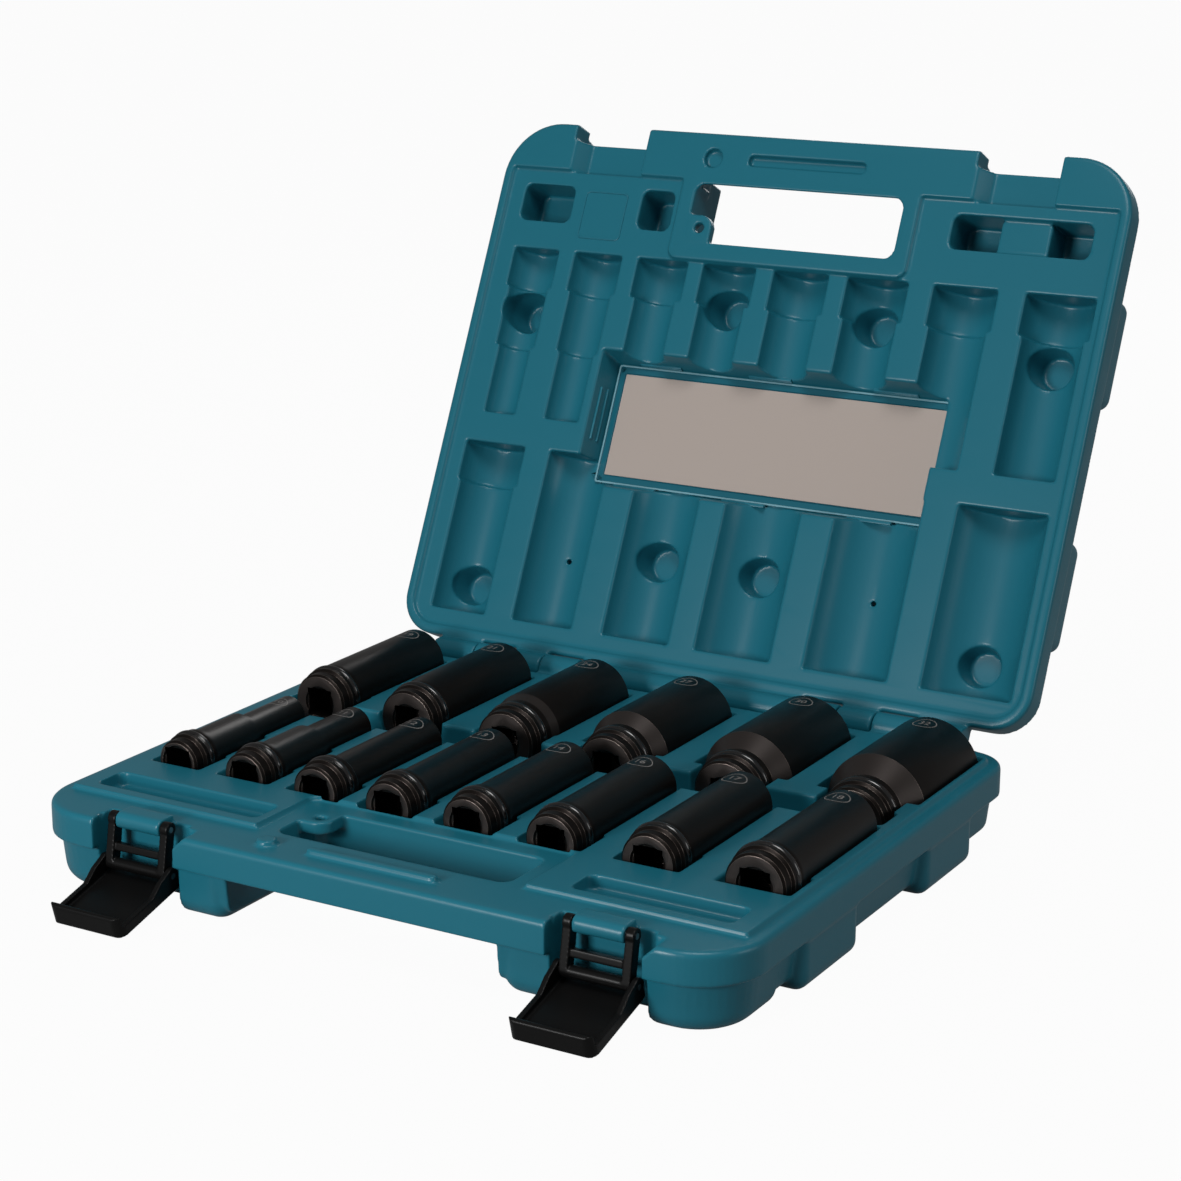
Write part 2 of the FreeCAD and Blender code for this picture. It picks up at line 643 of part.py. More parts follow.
save(make_base(), "base_shell")
save(make_ear(rim_z - tab_t, rim_z), "lock_ear_base")
save(swing_lid(make_lid()), "lid_shell")
save(swing_lid(make_ear(rim_z + part_gap, rim_z + tab_t)), "lock_ear_lid")
label_frame, label_panel = make_label()
save(swing_lid(label_frame), "label_frame")
save(swing_lid(label_panel), "label_panel")
save(cyl_x(hinge_pin_r, -lid_knuckles[1][1], lid_knuckles[1][1], hinge_y, rim_z), "hinge_pin")
for side, nx in latch_places():
    link, plate, pin_a, pin_b = make_latch(nx)
    save(link, "latch_link_" + side)
    save(plate, "latch_plate_" + side)
    save(pin_a, "link_pin_" + side)
    save(pin_b, "plate_pin_" + side)
for s in sockets:
    body, ring = make_socket(*s)
    save(body, "socket_%d" % s[1])
    save(ring, "oring_%d" % s[1])
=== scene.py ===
import math

import bpy
from mathutils import Matrix, Vector


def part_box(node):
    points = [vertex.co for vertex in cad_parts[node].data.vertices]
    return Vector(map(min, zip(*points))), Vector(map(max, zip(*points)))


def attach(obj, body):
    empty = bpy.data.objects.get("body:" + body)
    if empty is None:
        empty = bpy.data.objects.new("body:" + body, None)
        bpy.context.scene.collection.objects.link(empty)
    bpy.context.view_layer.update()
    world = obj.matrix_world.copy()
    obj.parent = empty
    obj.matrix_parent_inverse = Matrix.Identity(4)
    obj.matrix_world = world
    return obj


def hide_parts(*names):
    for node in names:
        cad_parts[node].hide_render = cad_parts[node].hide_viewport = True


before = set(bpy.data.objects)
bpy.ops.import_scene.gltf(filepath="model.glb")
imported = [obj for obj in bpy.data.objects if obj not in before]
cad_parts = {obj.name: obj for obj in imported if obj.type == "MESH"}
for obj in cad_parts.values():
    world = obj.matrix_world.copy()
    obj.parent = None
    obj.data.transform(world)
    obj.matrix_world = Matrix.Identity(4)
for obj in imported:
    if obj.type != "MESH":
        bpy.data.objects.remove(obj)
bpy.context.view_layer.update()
mm = 0.001
weldMm = 0.001
smoothDeg = 30
print("frame loaded:", len(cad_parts), "nodes")


# small helpers used by every piece
def deselectAll():
    if bpy.context.object and bpy.context.object.mode != "OBJECT":
        bpy.ops.object.mode_set(mode="OBJECT")
    bpy.ops.object.select_all(action="DESELECT")


def pick(obj):
    deselectAll()
    obj.select_set(True)
    bpy.context.view_layer.objects.active = obj


def editAll(obj):
    pick(obj)
    bpy.ops.object.mode_set(mode="EDIT")
    bpy.ops.mesh.select_mode(type="VERT")
    bpy.ops.mesh.select_all(action="SELECT")


def selectFaces():
    bpy.ops.mesh.select_mode(type="FACE")
    bpy.ops.mesh.select_all(action="SELECT")


def extrudeBy(*way):
    bpy.ops.mesh.extrude_region_move(TRANSFORM_OT_translate={"value": [v * mm for v in way]})


def leaveEdit():
    bpy.ops.object.mode_set(mode="OBJECT")


def modify(obj, kind, **settings):
    pick(obj)
    mod = obj.modifiers.new(kind.title(), kind)
    for key, value in settings.items():
        setattr(mod, key, value)
    bpy.ops.object.modifier_apply(modifier=mod.name)


def faceOutwards(obj):
    editAll(obj)
    bpy.ops.mesh.remove_doubles(threshold=weldMm * mm)
    bpy.ops.mesh.normals_make_consistent(inside=False)
    leaveEdit()


def smoothShade(obj):
    pick(obj)
    bpy.ops.object.shade_smooth_by_angle(angle=math.radians(smoothDeg))


def settle(obj):
    pick(obj)
    bpy.ops.object.transform_apply(location=True, rotation=True, scale=True)


def moveCorners(obj, chosen, way):
    # moves those corners whose places chosen accepts, all in mm
    editAll(obj)
    bpy.ops.mesh.select_all(action="DESELECT")
    leaveEdit()
    for corner in obj.data.vertices:
        corner.select = chosen(corner.co / mm)
    bpy.ops.object.mode_set(mode="EDIT")
    bpy.ops.transform.translate(value=[v * mm for v in way])
    leaveEdit()


def joinTo(obj, others):
    pick(obj)
    for other in others:
        other.select_set(True)
    bpy.ops.object.join()


def carve(obj, cutter):
    modify(obj, "BOOLEAN", operation="DIFFERENCE", solver="EXACT", object=cutter)
    bpy.data.objects.remove(cutter)


def paint(obj, *materials):
    obj.data.materials.clear()
    for material in materials:
        obj.data.materials.append(material)


def handOver(obj, name, body, slotName, *nodes):
    obj.name = name
    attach(obj, body)
    if nodes:
        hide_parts(*nodes)


# colours are written as sRGB hex
def linear(hexColour):
    def channel(c):
        return c / 12.92 if c <= 0.04045 else ((c + 0.055) / 1.055) ** 2.4
    raw = [int(hexColour[i:i + 2], 16) / 255 for i in (1, 3, 5)]
    return (*[channel(c) for c in raw], 1.0)


def addNode(material, kind, inputs=None, links=None, **settings):
    node = material.node_tree.nodes.new(kind)
    for key, value in settings.items():
        setattr(node, key, value)
    for key, value in (inputs or {}).items():
        node.inputs[key].default_value = value
    for key, source in (links or {}).items():
        material.node_tree.links.new(source, node.inputs[key])
    return node


def freshMaterial(name, **sockets):
    material = bpy.data.materials.new(name)
    material.use_nodes = True
    shader = material.node_tree.nodes["Principled BSDF"]
    for key, value in sockets.items():
        shader.inputs[key.replace("_", " ")].default_value = value
    return material, shader


def grain(material, shader, look):
    # fine grain of the surface, drawn coarser than the real grit so that it shows: noise pushed into the normal
    coords = addNode(material, "ShaderNodeTexCoord")
    noise = addNode(material, "ShaderNodeTexNoise", {"Scale": 1 / (look["grainMm"] * mm), "Detail": 2.0},
                    {"Vector": coords.outputs["Object"]})
    bump = addNode(material, "ShaderNodeBump",
                   {"Strength": look["grainStrength"], "Distance": look["grainHeightMm"] * mm},
                   {"Height": noise.outputs["Fac"]})
    material.node_tree.links.new(bump.outputs["Normal"], shader.inputs["Normal"])


def mouldedPolyethylene():
    # blow-moulded polyethylene, dyed teal: satin, soft broad highlights, a fine even grain
    look = {"colour": "#1A6475", "roughness": 0.33, "gloss": 0.28,
            "grainMm": 0.8, "grainHeightMm": 0.05, "grainStrength": 0.3}
    material, shader = freshMaterial("mouldedPolyethylene", Base_Color=linear(look["colour"]),
                                     Roughness=look["roughness"], Specular_IOR_Level=look["gloss"])
    grain(material, shader, look)
    return material


def blackNylon():
    # injection-moulded black nylon: dark, slightly glossier than the case, fine spark-eroded grain
    look = {"colour": "#0A0A0A", "roughness": 0.34, "gloss": 0.14,
            "grainMm": 0.5, "grainHeightMm": 0.03, "grainStrength": 0.25}
    material, shader = freshMaterial("blackNylon", Base_Color=linear(look["colour"]),
                                     Roughness=look["roughness"], Specular_IOR_Level=look["gloss"])
    grain(material, shader, look)
    return material


def phosphatedSteel():
    # forged chrome-molybdenum steel, phosphated black and oiled: nearly black with a warm dull sheen
    look = {"colour": "#1E1A18", "roughness": 0.38, "metallic": 0.8, "gloss": 0.2,
            "grainMm": 0.6, "grainHeightMm": 0.02, "grainStrength": 0.3}
    material, shader = freshMaterial("phosphatedSteel", Base_Color=linear(look["colour"]),
                                     Roughness=look["roughness"], Metallic=look["metallic"],
                                     Specular_IOR_Level=look["gloss"])
    grain(material, shader, look)
    return material


def wornEdgeSteel():
    # the same steel on every bevelled edge: lighter and shinier, partly rubbed-off black and partly a painted
    # highlight
    return freshMaterial("wornEdgeSteel", Base_Color=linear("#766C66"), Roughness=0.35, Metallic=1.0)[0]


def turnedSteel():
    # cone and drive face painted brownish grey with a dull gleam: a painted sheen for the light these faces
    # catch
    look = {"colour": "#302B29", "roughness": 0.45, "metallic": 0.6, "gloss": 0.3,
            "grainMm": 0.35, "grainHeightMm": 0.02, "grainStrength": 0.3}
    material, shader = freshMaterial("turnedSteel", Base_Color=linear(look["colour"]),
                                     Roughness=look["roughness"], Metallic=look["metallic"],
                                     Specular_IOR_Level=look["gloss"])
    grain(material, shader, look)
    return material


def etchedSteel():
    # laser-etched marks: matt grey on the black steel
    return freshMaterial("etchedSteel", Base_Color=linear("#787674"), Roughness=0.7,
                         Specular_IOR_Level=0.1)[0]


def oiledRubber():
    # nitrile rubber ring with an oily gloss: black with a tight bright highlight
    return freshMaterial("oiledRubber", Base_Color=linear("#0B0A0A"), Roughness=0.16,
                         Specular_IOR_Level=0.7)[0]


def tintedAcrylic():
    # thin clear sheet with the teal case showing through it: glossy; the pale line on its folded edge is a
    # painted highlight
    return freshMaterial("tintedAcrylic", Base_Color=linear("#175A6A"), Roughness=0.2,
                         Specular_IOR_Level=0.4)[0]


def foldedAcrylic():
    # painted highlight: pale line round the outer edge of the clear sheet, standing in for the light that edge
    # catches
    return freshMaterial("foldedAcrylic", Base_Color=linear("#6E9AA6"), Roughness=0.25,
                         Specular_IOR_Level=0.4)[0]


def labelCard():
    # coated card seen from its plain side: even warm grey with a faint sheen
    return freshMaterial("labelCard", Base_Color=linear("#A69B94"), Roughness=0.5,
                         Specular_IOR_Level=0.1)[0]


def drawnWire():
    # drawn steel wire: bright grey pin
    return freshMaterial("drawnWire", Base_Color=linear("#8C8C8E"), Roughness=0.35, Metallic=1.0)[0]


teal = mouldedPolyethylene()
nylon = blackNylon()
steel = phosphatedSteel()
wornAndHighlightSteel = wornEdgeSteel()
sheenSteel = turnedSteel()
etched = etchedSteel()
rubber = oiledRubber()
acrylic = tintedAcrylic()
paintedHighlightEdge = foldedAcrylic()
card = labelCard()
wire = drawnWire()
print("materials ready")


# moulded pieces: a merged copy of the drawn solid is softened the way a mould softens its edges
def copyOfNode(nodeName):
    obj = bpy.data.objects.new(nodeName + "Copy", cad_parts[nodeName].data.copy())
    bpy.context.scene.collection.objects.link(obj)
    editAll(obj)
    bpy.ops.mesh.customdata_custom_splitnormals_clear()
    bpy.ops.mesh.remove_doubles(threshold=weldMm * mm)
    leaveEdit()
    return obj


def mouldedPiece(nodeNames, look, blocks=(), cutters=(), outline=None):
    copies = [copyOfNode(n) for n in nodeNames]
    obj = copies[0]
    for cutter in cutters:
        carve(obj, cutter)
    if outline:
        modify(obj, "BOOLEAN", operation="INTERSECT", solver="EXACT", object=outline)
        bpy.data.objects.remove(outline)
    for lug in copies[1:]:
        editAll(lug)
        bpy.ops.transform.shrink_fatten(value=look["lugGrowthMm"] * mm)  # the lug grows into its wall
        leaveEdit()
    added = copies[1:] + list(blocks)
    if added:
        joinTo(obj, added)
    modify(obj, "REMESH", mode="VOXEL", voxel_size=look["voxelMm"] * mm)
    modify(obj, "SMOOTH", factor=look["softenShare"], iterations=look["softenPasses"])
    count = sum(len(p.vertices) - 2 for p in obj.data.polygons)
    if count > look["triangles"]:
        modify(obj, "DECIMATE", ratio=look["triangles"] / count)
    bpy.ops.object.shade_smooth()
    return obj


# the lid is worked on closed, then swung open about the hinge
hinge = {"yMm": 136.0, "zMm": 34.0, "openDeg": 115.3}
pivot = Matrix.Translation((0, hinge["yMm"] * mm, hinge["zMm"] * mm))
lidOpen = pivot @ Matrix.Rotation(-math.radians(hinge["openDeg"]), 4, "X") @ pivot.inverted()


def swingOpen(obj):
    settle(obj)
    obj.matrix_world = lidOpen
    settle(obj)


def lidBlock(low, high, softMm):
    # a plain block between two corners in mm, its edges rounded where softMm is given
    size = [b - a for a, b in zip(low, high)]
    middle = [(a + b) / 2 * mm for a, b in zip(low, high)]
    deselectAll()
    bpy.ops.mesh.primitive_cube_add(size=1, location=middle, scale=[s * mm for s in size])
    block = bpy.context.object
    settle(block)
    if softMm:
        modify(block, "BEVEL", width=softMm * mm, segments=3, limit_method="ANGLE")
    return block


caseLook = {
    "voxelMm": 0.75,
    "softenPasses": 3, "softenShare": 0.5,
    "triangles": 190000,
    "lugGrowthMm": 0.2,
}
base = mouldedPiece(["base_shell", "lock_ear_base"], caseLook)
paint(base, teal)
handOver(base, "caseBase", "base", "case_plastic", "base_shell", "lock_ear_base")
print("caseBase moulded:", len(base.data.polygons), "faces")

# lid: the wall that closes the left end of the finger window, the drafted underside of the bar, two vents
lidLook = {
    "wallLow": (-62.6, -109.0, 45.0), "wallHigh": (-53.5, -74.2, 60.5), "wallSoft": 0.6,
    "barLow": (-53.0, -107.9, 35.5), "barHigh": (53.0, -102.6, 48.6), "barDraft": 4.2, "near": 1.0,
    "ventMm": 1.25, "vents": ((-85.7, 82.3), (72.8, 80.1)), "ventFrom": 40.0, "ventTo": 57.0,
}
wall = lidBlock(lidLook["wallLow"], lidLook["wallHigh"], lidLook["wallSoft"])
swingOpen(wall)
draft = lidBlock(lidLook["barLow"], lidLook["barHigh"], 0)
_, barFront, barFoot = lidLook["barLow"]
# the end towards the base is narrow, so the cut widens outwards
moveCorners(draft, lambda at: at.z < barFoot + lidLook["near"] and at.y < barFront + lidLook["near"],
            (0, lidLook["barDraft"], 0))
swingOpen(draft)
lid = mouldedPiece(["lid_shell", "lock_ear_lid"], caseLook, [wall], [draft])
ventDepth = lidLook["ventTo"] - lidLook["ventFrom"]
ventMiddle = (lidLook["ventFrom"] + lidLook["ventTo"]) / 2
for ventX, ventY in lidLook["vents"]:
    deselectAll()
    bpy.ops.mesh.primitive_cylinder_add(vertices=24, radius=lidLook["ventMm"] * mm, depth=ventDepth * mm,
                                        location=(ventX * mm, ventY * mm, ventMiddle * mm))
    vent = bpy.context.object
    swingOpen(vent)
    carve(lid, vent)
paint(lid, teal)
handOver(lid, "caseLid", "lid", "case_plastic", "lid_shell", "lock_ear_lid")
print("caseLid moulded:", len(lid.data.polygons), "faces")

# raised outline of a blank moulded field on the lid's panel
fieldLook = {"low": (-113.0, -96.4), "high": (-89.6, -72.5), "z": 36.5, "corner": 2.6, "line": 0.7,
             "thick": 0.8, "soft": 0.25}


def roundedPlate(look, z):
    # flat face turned towards the base, its four corners rounded, left selected in edit mode
    (x0, y0), (x1, y1) = look["low"], look["high"]
    deselectAll()
    bpy.ops.mesh.primitive_plane_add(size=1, location=((x0 + x1) / 2 * mm, (y0 + y1) / 2 * mm, z * mm),
                                     rotation=(math.pi, 0, 0))
    plate = bpy.context.object
    plate.scale = ((x1 - x0) * mm, (y1 - y0) * mm, 1)
    settle(plate)
    editAll(plate)
    bpy.ops.mesh.bevel(offset=look["corner"] * mm, segments=6, affect="VERTICES")
    selectFaces()
    return plate


field = roundedPlate(fieldLook, fieldLook["z"])
bpy.ops.mesh.inset(thickness=fieldLook["line"] * mm, depth=0)
bpy.ops.mesh.delete(type="FACE")
leaveEdit()
modify(field, "SOLIDIFY", thickness=fieldLook["thick"] * mm, offset=0.0)
modify(field, "BEVEL", width=fieldLook["soft"] * mm, segments=2, limit_method="ANGLE")
swingOpen(field)
smoothShade(field)
paint(field, teal)
handOver(field, "blankField", "lid", "case_plastic")

# clear label frame: folded edge painted pale as a highlight, flat band, shadow gap round the bare panel, snap
# ridges on the slopes
labelLook = {
    "low": (-81.0, -15.6), "high": (90.6, 42.4), "corner": 1.2, "back": 51.4, "front": 50.2,
    "edge": 0.8, "edgeRise": 0.5, "edgeFall": 0.25, "band": 2.5, "gap": 0.3, "gapDeep": 0.45,
    "slope": 4.5, "seat": 0.4, "slopeDeep": 17.4,
    "ridgeTall": 1.6, "acrossLong": 22.0, "acrossWide": 0.7, "acrossSoft": 0.25, "acrossDepths": (0.9, 2.2),
    "acrossAt": (-58.2, -0.4, 63.5), "endLong": 26.0, "endWide": 1.3, "endSoft": 0.5, "endDepths": (4.2, 8.6),
    "endAt": 10.9,
    "panelCorner": 0.4, "panelThick": 0.5, "panelRight": 90.3,
    "tuckFrom": 84.0, "tuck": 0.75, "backSkin": 0.3,
}


def snapRidges(look):
    # pairs of thin ridges above and below the frame, clear of the sockets, and a deeper pair at its left end
    (x0, y0), y1 = look["low"], look["high"][1]
    tall, ridges = look["ridgeTall"] / 2, []

    def wallOut(z):
        return look["seat"] + (look["slope"] - look["seat"]) * (look["back"] - z) / look["slopeDeep"]

    half, wide = look["acrossLong"] / 2, look["acrossWide"] / 2
    for z in [look["front"] - depth for depth in look["acrossDepths"]]:
        for wallY in (y0 - wallOut(z), y1 + wallOut(z)):
            for at in look["acrossAt"]:
                low = (at - half, wallY - tall, z - wide)
                high = (at + half, wallY + tall, z + wide)
                ridges.append(lidBlock(low, high, look["acrossSoft"]))
    half, wide, at = look["endLong"] / 2, look["endWide"] / 2, look["endAt"]
    for z in [look["front"] - depth for depth in look["endDepths"]]:
        wallX = x0 - wallOut(z)
        low = (wallX - tall, at - half, z - wide)
        high = (wallX + tall, at + half, z + wide)
        ridges.append(lidBlock(low, high, look["endSoft"]))
    return ridges


def clearFrame(look):
    plate = roundedPlate(look, look["back"])
    leaveEdit()
    paint(plate, acrylic, paintedHighlightEdge)
    pick(plate)
    bpy.ops.object.mode_set(mode="EDIT")
    rise = look["back"] - look["front"] + look["edgeRise"]
    extrudeBy(0, 0, -rise)
    # the outer rim takes the pale painted highlight
    plate.active_material_index = 1
    bpy.ops.object.material_slot_assign()
    bpy.ops.mesh.inset(thickness=look["edge"] * mm, depth=0)
    plate.active_material_index = 0
    bpy.ops.object.material_slot_assign()
    bpy.ops.mesh.inset(thickness=look["edgeFall"] * mm, depth=-look["edgeRise"] * mm)
    bpy.ops.mesh.inset(thickness=look["band"] * mm, depth=0)
    bpy.ops.mesh.inset(thickness=look["gap"] * mm, depth=-look["gapDeep"] * mm)
    leaveEdit()
    # the right end is tucked behind the panel
    moveCorners(plate, lambda at: at.x > look["tuckFrom"] and at.z < look["back"] - look["backSkin"],
                (0, 0, look["tuck"]))
    for ridge in snapRidges(look):
        paint(ridge, teal)
        joinTo(plate, [ridge])
    faceOutwards(plate)
    swingOpen(plate)
    smoothShade(plate)
    return plate


def barePanel(look):
    inset = look["edge"] + look["edgeFall"] + look["band"] + look["gap"] + look["panelCorner"]
    inner = {"low": [v + inset for v in look["low"]], "high": (look["panelRight"], look["high"][1] - inset),
             "corner": look["panelCorner"]}
    plate = roundedPlate(inner, look["front"] + look["panelThick"])
    extrudeBy(0, 0, -look["panelThick"])
    leaveEdit()
    faceOutwards(plate)
    swingOpen(plate)
    paint(plate, card)
    return plate


handOver(clearFrame(labelLook), "labelFrame", "lid", "label_clear", "label_frame")
handOver(barePanel(labelLook), "labelPanel", "lid", "label_card", "label_panel")
print("label frame folded")

latchLook = {
    "voxelMm": 0.35, "softenPasses": 4, "softenShare": 0.5, "triangles": 60000,
    "low": (-17.65, -20.0), "high": (17.65, 35.25), "corner": 4.2, "deep": 12.0,
    "pivotY": -125.53, "pivotZ": 15.77, "tilt": 195.2,
}


def plateOutline(look, x):
    # block with rounded corners that trims the lip's two ends, measured from the plate's pivot
    outline = roundedPlate(look, look["deep"])
    extrudeBy(0, 0, -2 * look["deep"])
    leaveEdit()
    faceOutwards(outline)
    outline.rotation_euler = (math.radians(look["tilt"]), 0, 0)
    outline.location = (x, look["pivotY"] * mm, look["pivotZ"] * mm)
    settle(outline)
    return outline


for side in ("left", "right"):
    link = mouldedPiece(["latch_link_" + side], latchLook)
    paint(link, nylon)
    handOver(link, "latchLink" + side.title(), "link_" + side, "latch_plastic", "latch_link_" + side)
    low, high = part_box("latch_plate_" + side)
    trim = plateOutline(latchLook, (low.x + high.x) / 2)
    plate = mouldedPiece(["latch_plate_" + side], latchLook, outline=trim)
    paint(plate, nylon)
    handOver(plate, "latchPlate" + side.title(), "plate_" + side, "latch_plastic", "latch_plate_" + side)
print("latches moulded")


# sockets: turned from a disc, then broached square and hexagon
socketShape = {
    "length": 80.0, "sides": 96, "noseDrop": 1.2, "noseEnd": 5.2, "noseTaper": 1.0, "noseChamfer": 1.0,
    "grooveAt": 8.2, "grooveWide": 3.2, "grooveDeep": 1.5, "grooveWall": 0.01,
    "neckAt": 14.0, "stepEnd": 17.0, "coneAt": 15.0, "coneLeast": 4.0, "coneSlope": 1.35,
    "waistAt": 43.0, "waistEnd": 47.0, "endChamfer": 0.8,
}
# size: nut-end diameter, drive-end diameter, body form
socketSizes = {
    10: (15.6, 22.0, "nose"), 11: (17.0, 23.0, "nose"), 12: (19.6, 24.0, "step"), 13: (21.4, 24.5, "step"),
    14: (22.8, 25.0, "step"), 16: (24.6, 25.4, "step"), 17: (25.8, 26.0, "step"), 18: (26.8, 28.0, "step"),
    19: (28.4, 28.4, "step"), 21: (31.0, 29.6, "cone"), 24: (33.6, 30.0, "cone"), 27: (38.2, 30.0, "cone"),
    30: (41.6, 31.0, "cone"), 32: (43.6, 31.0, "cone"),
}


def socketStations(nut, drive, form):
    # radius and place along the socket, from the drive end
    s = socketShape
    n, d = nut / 2, drive / 2
    nose = d - s["noseDrop"]
    groove = d - s["grooveDeep"]
    grooveEnd = s["grooveAt"] + s["grooveWide"]
    run = [(nose - s["noseChamfer"], 0), (nose, s["noseChamfer"]), (nose, s["noseEnd"]),
           (d, s["noseEnd"] + s["noseTaper"]), (d, s["grooveAt"]), (groove, s["grooveAt"] + s["grooveWall"]),
           (groove, grooveEnd), (d, grooveEnd + s["grooveWall"])]
    if form == "nose":
        run += [(d, s["neckAt"]), (nose, s["stepEnd"]), (nose, s["waistAt"]), (n, s["waistEnd"])]
    elif form == "cone":
        rise = max(s["coneLeast"], (n - d) * s["coneSlope"])
        run += [(d, s["coneAt"]), (n, s["coneAt"] + rise)]
    else:
        run += [(d, s["neckAt"]), (n, s["stepEnd"])]
    return run + [(n, s["length"] - s["endChamfer"]), (n - s["endChamfer"], s["length"])]


def turnBody(stations, x, y, z):
    radius, along = stations[0]
    deselectAll()
    bpy.ops.mesh.primitive_circle_add(vertices=socketShape["sides"], radius=radius * mm, fill_type="NGON",
                                      location=(x, y + along * mm, z), rotation=(math.pi / 2, 0, 0))
    obj = bpy.context.object
    settle(obj)
    editAll(obj)
    for nextRadius, nextAlong in stations[1:]:
        extrudeBy(0, nextAlong - along, 0)
        if nextRadius != radius:
            ratio = nextRadius / radius
            bpy.ops.transform.resize(value=(ratio, 1, ratio), center_override=(x, y + nextAlong * mm, z))
        radius, along = nextRadius, nextAlong
    leaveEdit()
    faceOutwards(obj)
    return obj


broachShape = {
    "square": 12.7, "squareDeep": 17.0, "past": 1.0,
    "leadRadius": 7.8, "leadWall": 0.8, "leadTaper": 0.8, "leadDeep": 1.0, "leadPast": 0.1, "leadSides": 64,
    "boreWall": 0.6, "boreFrom": 12.0, "boreTo": 52.0, "boreSides": 48, "hexDeep": 34.0, "hexSlack": 0.25,
    "hexLeadIn": 0.44, "hexLeadOut": 0.62, "hexLeadDeep": 2.5, "hexLeadBack": 1.2,
}


def broach(obj, size, drive, x, y, z):
    b, length = broachShape, socketShape["length"]
    alongAxis = (math.pi / 2, 0, 0)
    towardsNut = (-math.pi / 2, 0, 0)

    def at(along):
        return (x, y + along * mm, z)

    # square drive behind a round lead-in
    squareLong = b["squareDeep"] + b["past"]
    deselectAll()
    bpy.ops.mesh.primitive_cube_add(size=1, location=at((b["squareDeep"] - b["past"]) / 2),
                                    scale=(b["square"] * mm, squareLong * mm, b["square"] * mm))
    carve(obj, bpy.context.object)
    rim = drive / 2 - socketShape["noseDrop"] - socketShape["noseChamfer"]
    lead = min(b["leadRadius"], rim - b["leadWall"])
    deselectAll()
    bpy.ops.mesh.primitive_cone_add(vertices=b["leadSides"], radius1=lead * mm,
                                    radius2=(lead - b["leadTaper"]) * mm, depth=b["leadDeep"] * mm,
                                    rotation=towardsNut, location=at(b["leadDeep"] / 2 - b["leadPast"]))
    carve(obj, bpy.context.object)
    # through bore, hexagon and its lead-in
    bore = min(b["square"], size) / 2 - b["boreWall"]
    deselectAll()
    bpy.ops.mesh.primitive_cylinder_add(vertices=b["boreSides"], radius=bore * mm, rotation=alongAxis,
                                        depth=(b["boreTo"] - b["boreFrom"]) * mm,
                                        location=at((b["boreFrom"] + b["boreTo"]) / 2))
    carve(obj, bpy.context.object)
    across = size + b["hexSlack"]
    deselectAll()
    bpy.ops.mesh.primitive_cylinder_add(vertices=6, radius=across / math.sqrt(3) * mm, rotation=alongAxis,
                                        depth=(b["hexDeep"] + b["past"]) * mm,
                                        location=at(length - (b["hexDeep"] - b["past"]) / 2))
    carve(obj, bpy.context.object)
    deselectAll()
    bpy.ops.mesh.primitive_cone_add(vertices=b["leadSides"], radius1=size * b["hexLeadIn"] * mm,
                                    radius2=size * b["hexLeadOut"] * mm, depth=b["hexLeadDeep"] * mm,
                                    rotation=towardsNut, location=at(length - b["hexLeadBack"]))
    carve(obj, bpy.context.object)


ringShape = {"proud": 0.7, "slack": 0.15, "sides": 96, "tubeSides": 20}


def rubberRing(drive, x, y, z):
    tube = socketShape["grooveWide"] / 2 - ringShape["slack"]
    outer = drive / 2 + ringShape["proud"]
    middle = socketShape["grooveAt"] + socketShape["grooveWide"] / 2
    deselectAll()
    bpy.ops.mesh.primitive_torus_add(major_radius=(outer - tube) * mm, minor_radius=tube * mm,
                                     major_segments=ringShape["sides"], minor_segments=ringShape["tubeSides"],
                                     location=(x, y + middle * mm, z), rotation=(math.pi / 2, 0, 0))
    ring = bpy.context.object
    settle(ring)
    bpy.ops.object.shade_smooth()
    return ring


markShape = {"radius": 5.2, "share": 0.27, "line": 0.4, "back": 9.5, "above": 2.0, "gap": 0.03, "thick": 0.02,
             "numberMm": 5.2, "sides": 72}


def sizeMark(size, socketPiece, nut, x, y, z):
    # plain ring with the size inside it, laid over the nut end
    m = markShape
    radius = min(m["radius"], nut * m["share"])
    markY = y + (socketShape["length"] - m["back"]) * mm
    top = z + (nut / 2 + m["above"]) * mm
    deselectAll()
    bpy.ops.mesh.primitive_circle_add(vertices=m["sides"], radius=radius * mm, fill_type="NGON",
                                      location=(x, markY, top))
    mark = bpy.context.object
    settle(mark)
    editAll(mark)
    selectFaces()
    bpy.ops.mesh.inset(thickness=m["line"] * mm, depth=0)
    bpy.ops.mesh.delete(type="FACE")
    leaveEdit()
    deselectAll()
    bpy.ops.object.text_add(location=(x, markY, top))
    text = bpy.context.object
    text.data.body = str(size)
    text.data.size = m["numberMm"] * mm * radius / m["radius"]
    text.data.align_x = "CENTER"
    text.data.align_y = "CENTER"
    pick(text)
    bpy.ops.object.convert(target="MESH")
    settle(text)
    joinTo(mark, [text])
    modify(mark, "SHRINKWRAP", target=socketPiece, wrap_method="PROJECT", use_project_z=True,
           use_negative_direction=True, use_positive_direction=False, offset=m["gap"] * mm)
    modify(mark, "SOLIDIFY", thickness=m["thick"] * mm, offset=1.0)
    return mark
